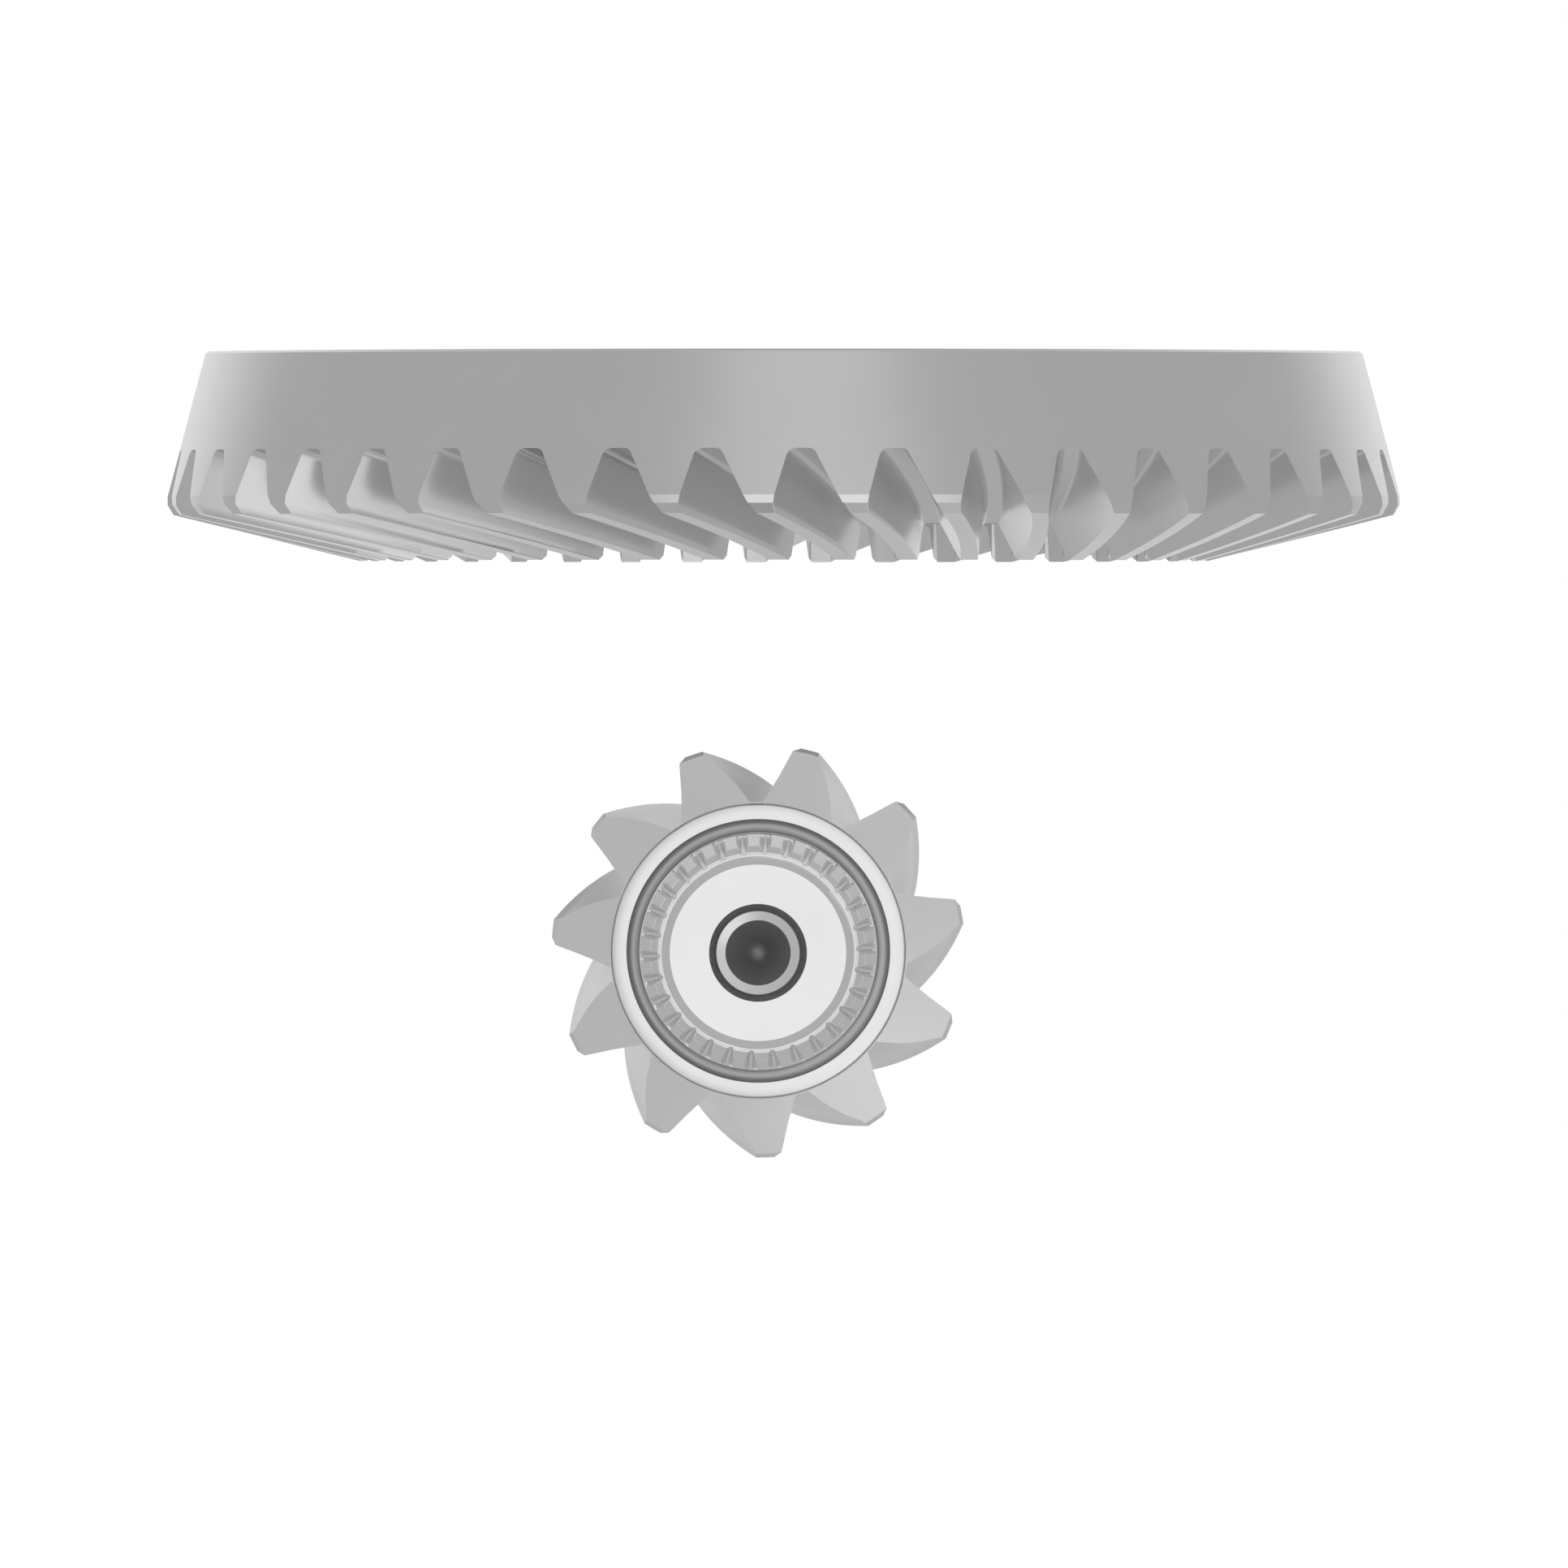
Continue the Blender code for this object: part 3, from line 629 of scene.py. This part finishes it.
def shaft_rows():
    """(radius, distance) down the shaft, from the end face's edge to the shoulder, with the grooves' ends."""
    rows = [(END_FACE_R - 0.0002, STUB_END), (END_FACE_R, STUB_END), (END_FACE_R + 0.0002, STUB_END - 0.0002),
            (STUB_R - 0.0001, STUB_END - 0.0015), (STUB_R, STUB_END - STUB_CHAMFER)]
    threaded = STUB_END - STUB_CHAMFER - STUB_START
    count = int(threaded / THREAD_PITCH * THREAD_ROWS)
    for i in range(1, count):
        rows.append((STUB_R, STUB_END - STUB_CHAMFER - threaded * i / count))
    rows += [(STUB_R, STUB_START), (STUB_R - 0.0004, STUB_START - 0.0003)]
    rows += arc((NECK_R + NECK_FILLET, STUB_START - 0.0003 - NECK_FILLET), NECK_FILLET, 90, 180, 3)
    rows += arc((NECK_R + NECK_FILLET, SPLINE_END + NECK_FILLET), NECK_FILLET, 180, 270, 3)
    rows += [(SPLINE_FLOOR_R, SPLINE_END), (SPLINE_END_R, SPLINE_END)]
    drop = SPLINE_R - SPLINE_END_R
    rows += [(SPLINE_END_R + drop * share, SPLINE_END - drop * share * 1.1) for share in (0.33, 0.66, 0.93)]
    rows += [(SPLINE_R, SPLINE_END - 1.25 * drop), (SPLINE_R, SPLINE_SHOULDER + 0.012),
             (SPLINE_R, SPLINE_SHOULDER + 0.0004)]
    shoulder = FRONT_JOURNAL_R - SPLINE_R
    for i in range(0, 9):
        rows.append((SPLINE_R + shoulder * i / 8, SPLINE_SHOULDER - RUNOUT_CONE * i / 8))
    for i in range(1, 9):
        past = RUNOUT_CONE + (RUNOUT_LENGTH - RUNOUT_CONE + 0.0002) * i / 8
        rows.append((FRONT_JOURNAL_R, SPLINE_SHOULDER - past))
    rows += [(FRONT_JOURNAL_R, FRONT_JOURNAL_START + 0.0003)]
    rows += [(SPACER_LAND_R, FRONT_JOURNAL_START), (SPACER_LAND_R, REAR_JOURNAL_END + 0.0008)]
    rows += [(JOURNAL_R - 0.0001, REAR_JOURNAL_END + 0.0001), (JOURNAL_R, REAR_JOURNAL_END - 0.0002)]
    half = FILLET_R / 2
    rows += [(JOURNAL_R, SHOULDER_FACE + 0.0004)]
    rows += [(JOURNAL_R + half + half * math.cos(a), SHOULDER_FACE + UNDERCUT * math.sin(a))
             for a in np.linspace(math.pi, TAU, 13)]
    return rows


def build_pinion():
    pitch = TAU / PINION_TEETH
    shell = Shell()
    flanks = pinion_flanks()
    spots = []
    for share in np.linspace(0, 1, PINION_STATIONS):
        section = pinion_row(float(share), flanks)
        spots.append([(d, r, a + k * pitch) for k in range(PINION_TEETH) for d, r, a in section])
    rows = [shell.row([around_z(r, a, d) for d, r, a in row]) for row in spots]
    for a, b in zip(rows, rows[1:]):
        shell.loft(a, b)

    # Heel side: the tips' chamfers, the back cone, the hub's edge and the bearing shoulder, then the shaft.
    width = len(spots[0]) // PINION_TEETH
    chamfer_at = len(PINION_LEVELS) - 2
    outline, outline_spots = [], []
    for k in range(PINION_TEETH):
        base = k * width
        left, right = base + chamfer_at, base + width - 2 - chamfer_at
        distance, radius, a = spots[0][left]
        b = spots[0][right][2]
        count = right - left - 1
        inner = [(distance, radius, a + (b - a) * (i + 0.5) / count) for i in range(count)]
        ids = [rows[0][left]] + shell.row([around_z(r, angle, d) for d, r, angle in inner]) + [rows[0][right]]
        tips = rows[0][left:right + 1]
        for i in range(len(ids) - 1):
            shell.faces.append((ids[i], ids[i + 1], tips[i + 1], tips[i]))
        outline += rows[0][base:left] + ids + rows[0][right + 1:base + width]
        outline_spots += spots[0][base:left + 1] + inner + spots[0][right:base + width]
    angles = [spot[2] for spot in outline_spots]
    edge = HEEL_ROOT[0]
    hub = ((HUB_R, edge + 0.00002), (HUB_R - 0.00002, edge - 0.00030), (HUB_R - 0.00014, edge - 0.00030),
           (HUB_R - 0.00016, edge + 0.00004), (HUB_R - 0.00044, SHOULDER_FACE - 0.00004),
           (HUB_R - 0.00052, SHOULDER_FACE))
    previous = outline
    for r, d in hub:
        line = shell.row([around_z(r, a, d) for a in angles])
        shell.loft(previous, line)
        previous = line
    columns = column_angles()
    shaft = []
    for r, d in shaft_rows():
        line = [around_z(thread_cut(spline_cut(r, d, a), d, a), a, d) for a in columns]
        shaft.append(shell.row(line))
    for a, b in zip(shaft, shaft[1:]):
        shell.loft(a, b)
    shell.zip_rows(previous, angles, shaft[-1], columns)

    # Threaded end: face and centre hole.
    centre = ((0.0086, 0.0), (0.00842, 0.0), (0.00837, 0.0001), (0.00723, 0.0034), (0.00715, 0.0035),
              (0.00560, 0.0040), (0.00553, 0.0041), (0.00553, 0.0280), (0.00002, 0.0315))
    previous = shaft[0]
    for r, depth in centre:
        line = shell.row([around_z(r, a, STUB_END - depth) for a in columns])
        shell.loft(previous, line)
        previous = line
    shell.cap(previous)

    # Toe side: the front face, the nose and its snap ring groove.
    toe_angles = [spot[2] for spot in spots[-1]]
    chamfer = 0.0010
    nose = [(0.0150, TOE_ROOT[0] - 0.0006)]
    nose += arc((NOSE_SHOULDER_R + 0.0008, TOE_ROOT[0] - 0.0014), 0.0008, 90, 180, 3)
    nose += [(NOSE_SHOULDER_R, NOSE_SHOULDER + 0.0003), (NOSE_SHOULDER_R - 0.0003, NOSE_SHOULDER),
             (NOSE_R + 0.0004, NOSE_SHOULDER), (NOSE_R, NOSE_SHOULDER - 0.0004), (NOSE_R, SNAP_GROOVE[1]),
             (SNAP_GROOVE_R, SNAP_GROOVE[1]), (SNAP_GROOVE_R, SNAP_GROOVE[0]), (NOSE_R, SNAP_GROOVE[0]),
             (NOSE_R, NOSE_END + chamfer), (NOSE_R - chamfer, NOSE_END), (0.0032, NOSE_END),
             (0.0012, NOSE_END + 0.0034), (0.0011, NOSE_END + 0.0060), (0.0001, NOSE_END + 0.0066)]
    previous = rows[-1]
    for r, d in nose:
        line = shell.row([around_z(r, a, d) for a in toe_angles])
        shell.loft(previous, line)
        previous = line
    shell.cap(previous)
    return lay_on_pinion_axis(shell.build("pinion_fine"))


# ---- small parts -------------------------------------------------------------------------------------------
BEARING = (0.0586, 0.0713)
INNER_RACE_R = (0.0093, 0.0120)
OUTER_RACE_R = (0.0170, 0.0200)
ROLLER_COUNT = 13
ROLLER_R = 0.0022
ROLLER_CIRCLE_R = 0.0145
ROLLER_LENGTH = 0.0090
CAGE_R = (0.0133, 0.0157)
CAGE_LENGTH = 0.0120
POCKET_GAP = 0.0003
SNAP_RING_R = (0.0085, 0.0113)
SNAP_RING = (0.05720, 0.05830)
SNAP_OPENING = math.radians(50)
WASHER_R = (0.0620, 0.0692)
WASHER = (-0.0057, -0.0026)


def build_race(name, radii):
    return lay_on_pinion_axis(turned(name, rounded_ring(*radii, *BEARING, 0.0005), 128))


def build_roller(index):
    middle = sum(BEARING) / 2
    half = ROLLER_LENGTH / 2
    shell = Shell()
    segments = 32
    angle = TAU * index / ROLLER_COUNT
    cx, cy, _ = around_z(ROLLER_CIRCLE_R, angle, 0.0)
    outline = ([(0.0006, half)] + arc((ROLLER_R - 0.0003, half - 0.0003), 0.0003, 90, 0, 3)
               + arc((ROLLER_R - 0.0003, 0.0003 - half), 0.0003, 0, -90, 3) + [(0.0006, -half)])
    turn = [TAU * i / segments for i in range(segments)]
    rows = [shell.row([(cx + r * math.cos(a), cy + r * math.sin(a), middle + h) for a in turn])
            for r, h in outline]
    for a, b in zip(rows, rows[1:]):
        shell.loft(a, b)
    shell.cap(rows[0])
    shell.cap(rows[-1])
    return lay_on_pinion_axis(shell.build(f"roller_{index + 1:02d}_fine"))


def build_cage():
    """Two end rings joined by bars between the roller pockets, as one lofted solid."""
    middle = sum(BEARING) / 2
    low, high = middle - CAGE_LENGTH / 2, middle + CAGE_LENGTH / 2
    cage = lay_on_pinion_axis(turned("cage_fine", rounded_ring(*CAGE_R, low, high, 0.0003, 2), 130))
    shell = Shell()
    segments = 24
    turn = [TAU * i / segments for i in range(segments)]
    reach = ROLLER_R + POCKET_GAP
    half = ROLLER_LENGTH / 2 + POCKET_GAP
    for index in range(ROLLER_COUNT):
        cx, cy, _ = around_z(ROLLER_CIRCLE_R, TAU * index / ROLLER_COUNT, 0.0)
        rows = [shell.row([(cx + reach * math.cos(a), cy + reach * math.sin(a), middle + h) for a in turn])
                for h in (-half, half)]
        shell.loft(*rows)
        shell.cap(rows[0])
        shell.cap(rows[1])
    cutter = lay_on_pinion_axis(shell.build("pocket_cutter"))
    bpy.context.view_layer.update()
    cut = cage.modifiers.new("Pockets", "BOOLEAN")
    cut.object = cutter
    cut.operation = "DIFFERENCE"
    cut.solver = "EXACT"
    apply_modifiers(cage)
    bpy.data.objects.remove(cutter, do_unlink=True)
    cage.data.shade_smooth()
    cage.data.set_sharp_from_angle(angle=math.radians(30))
    return cage


def build_snap_ring():
    """A split ring with rounded ends, lofted along its arc."""
    shell = Shell()
    section = rounded_ring(*SNAP_RING_R, *SNAP_RING, 0.0002, 2)
    start = math.pi + SNAP_OPENING / 2
    sweep = TAU - SNAP_OPENING
    steps = 72
    rows = []
    for i in range(steps + 1):
        angle = start + sweep * i / steps
        rows.append(shell.row([around_z(r, angle, h) for r, h in section]))
    for a, b in zip(rows, rows[1:]):
        shell.loft(a, b)
    shell.cap(rows[0])
    shell.cap(rows[-1])
    return lay_on_pinion_axis(shell.build("snap_ring_fine"))


# ---- materials ---------------------------------------------------------------------------------------------
GLOSS_SPREAD = 0.04
LINE_WAVES = 3.0                # how much the machining lines change on the way round
GROOVE_PAINTED_SHADE = 0.38             # how much painted shade darkens the shoulder's groove and the hole's mouth
GUARD_PAINTED_SHADE = 0.6
PAINT_MARGIN = 0.0001
TOOTH_PAINT_GAP = 0.0003        # from the shoulder to where the teeth's duller finish begins


class Nodes:
    """A little shorthand for building a material's node tree."""

    def __init__(self, name):
        self.material = bpy.data.materials.new(name)
        self.material.use_nodes = True
        self.tree = self.material.node_tree
        self.shader = self.tree.nodes["Principled BSDF"]

    def add(self, kind, **settings):
        node = self.tree.nodes.new(kind)
        for key, value in settings.items():
            setattr(node, key, value)
        return node

    def link(self, output, target):
        self.tree.links.new(output, target)

    def math(self, operation, *values):
        node = self.add("ShaderNodeMath", operation=operation)
        for index, value in enumerate(values):
            if isinstance(value, (int, float)):
                node.inputs[index].default_value = value
            else:
                self.link(value, node.inputs[index])
        return node.outputs[0]


def steel(name, grey, roughness, line_scale, bump, mottle=0.03, as_cut=0.0):
    """Machined steel: fine lines round the piece's own axis and a faint mottle in tone and gloss. On the
    pinion, as_cut makes the cut teeth duller than the ground shaft by that much, and painted shade darkens
    the shoulder's groove and the centre hole's mouth."""
    n = Nodes(name)
    place = n.add("ShaderNodeTexCoord")
    parts = n.add("ShaderNodeSeparateXYZ")
    n.link(place.outputs["Object"], parts.inputs[0])
    x, y, z = parts.outputs
    radius = n.math("SQRT", n.math("ADD", n.math("MULTIPLY", x, x), n.math("MULTIPLY", y, y)))
    lines_at = n.add("ShaderNodeCombineXYZ")
    n.link(n.math("MULTIPLY", radius, line_scale), lines_at.inputs[0])
    n.link(n.math("MULTIPLY", z, line_scale), lines_at.inputs[1])
    n.link(n.math("MULTIPLY", n.math("ARCTAN2", y, x), LINE_WAVES), lines_at.inputs[2])
    lines = n.add("ShaderNodeTexNoise", noise_dimensions="3D")
    lines.inputs["Scale"].default_value = 1.0
    lines.inputs["Detail"].default_value = 3.0
    lines.inputs["Roughness"].default_value = 0.6
    n.link(lines_at.outputs[0], lines.inputs["Vector"])
    cloud = n.add("ShaderNodeTexNoise")
    cloud.inputs["Scale"].default_value = 60.0
    cloud.inputs["Detail"].default_value = 4.0
    n.link(place.outputs["Object"], cloud.inputs["Vector"])

    tone = n.add("ShaderNodeMapRange")
    tone.inputs["To Min"].default_value = grey - mottle
    tone.inputs["To Max"].default_value = grey + mottle
    n.link(cloud.outputs["Fac"], tone.inputs["Value"])
    grey_level = tone.outputs[0]
    if as_cut:
        # Painted shade: the base colour is darkened in the shoulder's groove and in the centre hole's mouth.
        groove = n.math("MULTIPLY", n.math("LESS_THAN", radius, JOURNAL_R + FILLET_R - PAINT_MARGIN),
                        n.math("COMPARE", z, SHOULDER_FACE, UNDERCUT + PAINT_MARGIN))
        guard = n.math("MULTIPLY", n.math("LESS_THAN", radius, CENTRE_GUARD_R),
                       n.math("GREATER_THAN", z, STUB_END - CENTRE_GUARD_DEPTH))
        painted_shade = n.math("ADD", n.math("MULTIPLY", groove, GROOVE_PAINTED_SHADE), n.math("MULTIPLY", guard, GUARD_PAINTED_SHADE))
        grey_level = n.math("MULTIPLY", grey_level, n.math("SUBTRACT", 1.0, painted_shade))
    colour = n.add("ShaderNodeCombineColor")
    for channel in colour.inputs:
        n.link(grey_level, channel)
    n.link(colour.outputs[0], n.shader.inputs["Base Color"])

    gloss = n.add("ShaderNodeMapRange")
    gloss.inputs["To Min"].default_value = roughness - GLOSS_SPREAD
    gloss.inputs["To Max"].default_value = roughness + GLOSS_SPREAD
    n.link(lines.outputs["Fac"], gloss.inputs["Value"])
    dull = gloss.outputs[0]
    if as_cut:
        teeth = n.math("LESS_THAN", z, SHOULDER_FACE - TOOTH_PAINT_GAP)
        dull = n.math("ADD", dull, n.math("MULTIPLY", teeth, as_cut))
    n.link(dull, n.shader.inputs["Roughness"])

    relief = n.add("ShaderNodeBump")
    relief.inputs["Strength"].default_value = 1.0
    relief.inputs["Distance"].default_value = bump
    n.link(lines.outputs["Fac"], relief.inputs["Height"])
    n.link(relief.outputs[0], n.shader.inputs["Normal"])
    n.shader.inputs["Metallic"].default_value = 1.0
    return n.material


def dress(piece, material, body, slot_name, *nodes):
    piece.data.materials.clear()
    piece.data.materials.append(material)
    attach(piece, body)
    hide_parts(*nodes)


# ---- stage -------------------------------------------------------------------------------------------------
VIEW_WIDTH = 0.27396            # metres across the picture at the reference plane
VIEW_HEIGHT = -0.07586          # height of the picture's middle
VIEW_PLANE = -0.060             # the plane where the width holds
LENS = 1700.0
SENSOR = 36.0
FLOOR_HEIGHT = -0.25
FLOOR_R = 1.5
FLOOR_GLOW = 0.36               # lifts the floor to the backdrop's white


def build_camera():
    data = bpy.data.cameras.new("view")
    data.lens = LENS
    data.sensor_width = SENSOR
    distance = VIEW_WIDTH * LENS / SENSOR
    data.clip_end = 100.0
    camera = bpy.data.objects.new("view", data)
    camera.location = (0.0, VIEW_PLANE - distance, VIEW_HEIGHT)
    camera.rotation_euler = (math.radians(90), 0.0, 0.0)
    bpy.context.scene.collection.objects.link(camera)
    bpy.context.scene.camera = camera


def build_floor():
    shell = Shell()
    segments = 96
    turn = [TAU * i / segments for i in range(segments)]
    shell.cap(shell.row([(FLOOR_R * math.cos(a), FLOOR_R * math.sin(a), FLOOR_HEIGHT) for a in turn]))
    floor = shell.build("floor")
    n = Nodes("pale_floor")
    place = n.add("ShaderNodeTexCoord")
    grain = n.add("ShaderNodeTexNoise")
    grain.inputs["Scale"].default_value = 14.0
    grain.inputs["Detail"].default_value = 5.0
    n.link(place.outputs["Object"], grain.inputs["Vector"])
    tone = n.add("ShaderNodeMapRange")
    tone.inputs["To Min"].default_value = 0.86
    tone.inputs["To Max"].default_value = 0.92
    n.link(grain.outputs["Fac"], tone.inputs["Value"])
    colour = n.add("ShaderNodeCombineColor")
    for channel in colour.inputs:
        n.link(tone.outputs[0], channel)
    n.link(colour.outputs[0], n.shader.inputs["Base Color"])
    n.link(colour.outputs[0], n.shader.inputs["Emission Color"])
    n.shader.inputs["Emission Strength"].default_value = FLOOR_GLOW
    n.shader.inputs["Roughness"].default_value = 0.9
    floor.data.materials.append(n.material)
    # The steel is lit by the whole dome, its lower half included, so only the camera sees the floor.
    floor.visible_diffuse = False
    floor.visible_glossy = False
    floor.visible_shadow = False


# Studio light: an even dome with broad soft boxes. Each box has an azimuth (from -Y towards
# +X), an elevation and a half width in degrees, and the strength it adds at its middle.
DOME_LEVEL = 0.50
SOFT_BOXES = ((5, 0, 40, 0.50), (180, 20, 60, 0.40), (40, -35, 35, 0.30))


def facing(azimuth, elevation):
    turn, lift = math.radians(azimuth), math.radians(elevation)
    return (math.sin(turn) * math.cos(lift), -math.cos(turn) * math.cos(lift), math.sin(lift))


def build_world():
    world = bpy.data.worlds.new("studio")
    bpy.context.scene.world = world
    world.use_nodes = True
    tree = world.node_tree
    tree.nodes.clear()

    def add(kind, **settings):
        node = tree.nodes.new(kind)
        for key, value in settings.items():
            setattr(node, key, value)
        return node

    place = add("ShaderNodeTexCoord")
    total = None
    for azimuth, elevation, half_width, strength in SOFT_BOXES:
        aim = add("ShaderNodeVectorMath", operation="DOT_PRODUCT")
        tree.links.new(place.outputs["Generated"], aim.inputs[0])
        aim.inputs[1].default_value = facing(azimuth, elevation)
        box = add("ShaderNodeMapRange", interpolation_type="SMOOTHSTEP")
        tree.links.new(aim.outputs["Value"], box.inputs["Value"])
        box.inputs["From Min"].default_value = math.cos(math.radians(half_width))
        box.inputs["From Max"].default_value = 1.0
        box.inputs["To Max"].default_value = strength
        brighter = add("ShaderNodeMath", operation="ADD")
        brighter.inputs[1].default_value = DOME_LEVEL
        tree.links.new(box.outputs["Result"], brighter.inputs[0])
        if total:
            tree.links.new(total, brighter.inputs[1])
        total = brighter.outputs[0]
    light = add("ShaderNodeBackground")
    light.inputs["Color"].default_value = (1.0, 1.0, 1.0, 1.0)
    tree.links.new(total, light.inputs["Strength"])
    paper = add("ShaderNodeBackground")
    paper.inputs["Color"].default_value = (1.0, 1.0, 1.0, 1.0)
    paper.inputs["Strength"].default_value = 1.0
    path = add("ShaderNodeLightPath")
    mix = add("ShaderNodeMixShader")
    tree.links.new(path.outputs["Is Camera Ray"], mix.inputs[0])
    tree.links.new(light.outputs[0], mix.inputs[1])
    tree.links.new(paper.outputs[0], mix.inputs[2])
    out = add("ShaderNodeOutputWorld")
    tree.links.new(mix.outputs[0], out.inputs["Surface"])


def main():
    bpy.context.scene.view_settings.view_transform = "Standard"
    build_camera()
    gear = steel("machined_steel", grey=0.72, roughness=0.24, line_scale=9000.0, bump=0.0000012)
    shaft = steel("shaft_steel", grey=0.82, roughness=0.20, line_scale=9000.0, bump=0.0000012, as_cut=0.22)
    ground = steel("ground_steel", grey=0.74, roughness=0.16, line_scale=16000.0, bump=0.0000006)
    pressed = steel("pressed_steel", grey=0.50, roughness=0.34, line_scale=5000.0, bump=0.000002)
    dress(build_ring(), gear, "ring", "gear_steel", "ring_gear")
    dress(build_pinion(), shaft, "pinion", "gear_steel", "pinion_shaft")
    dress(build_race("inner_race_fine", INNER_RACE_R), ground, "pinion", "ground_steel", "pilot_inner_race")
    dress(build_race("outer_race_fine", OUTER_RACE_R), ground, "pilot_housing", "ground_steel",
          "pilot_outer_race")
    for index in range(ROLLER_COUNT):
        dress(build_roller(index), ground, "roller_cage", "ground_steel", f"pilot_roller_{index + 1:02d}")
    dress(build_cage(), pressed, "roller_cage", "pressed_steel", "pilot_cage")
    dress(build_snap_ring(), pressed, "pinion", "pressed_steel", "pilot_snap_ring")
    washer = turned("thrust_washer_fine", rounded_ring(*WASHER_R, *WASHER, 0.0004), 246)
    dress(washer, pressed, "carrier", "pressed_steel", "ring_thrust_washer")
    build_floor()
    build_world()


main()
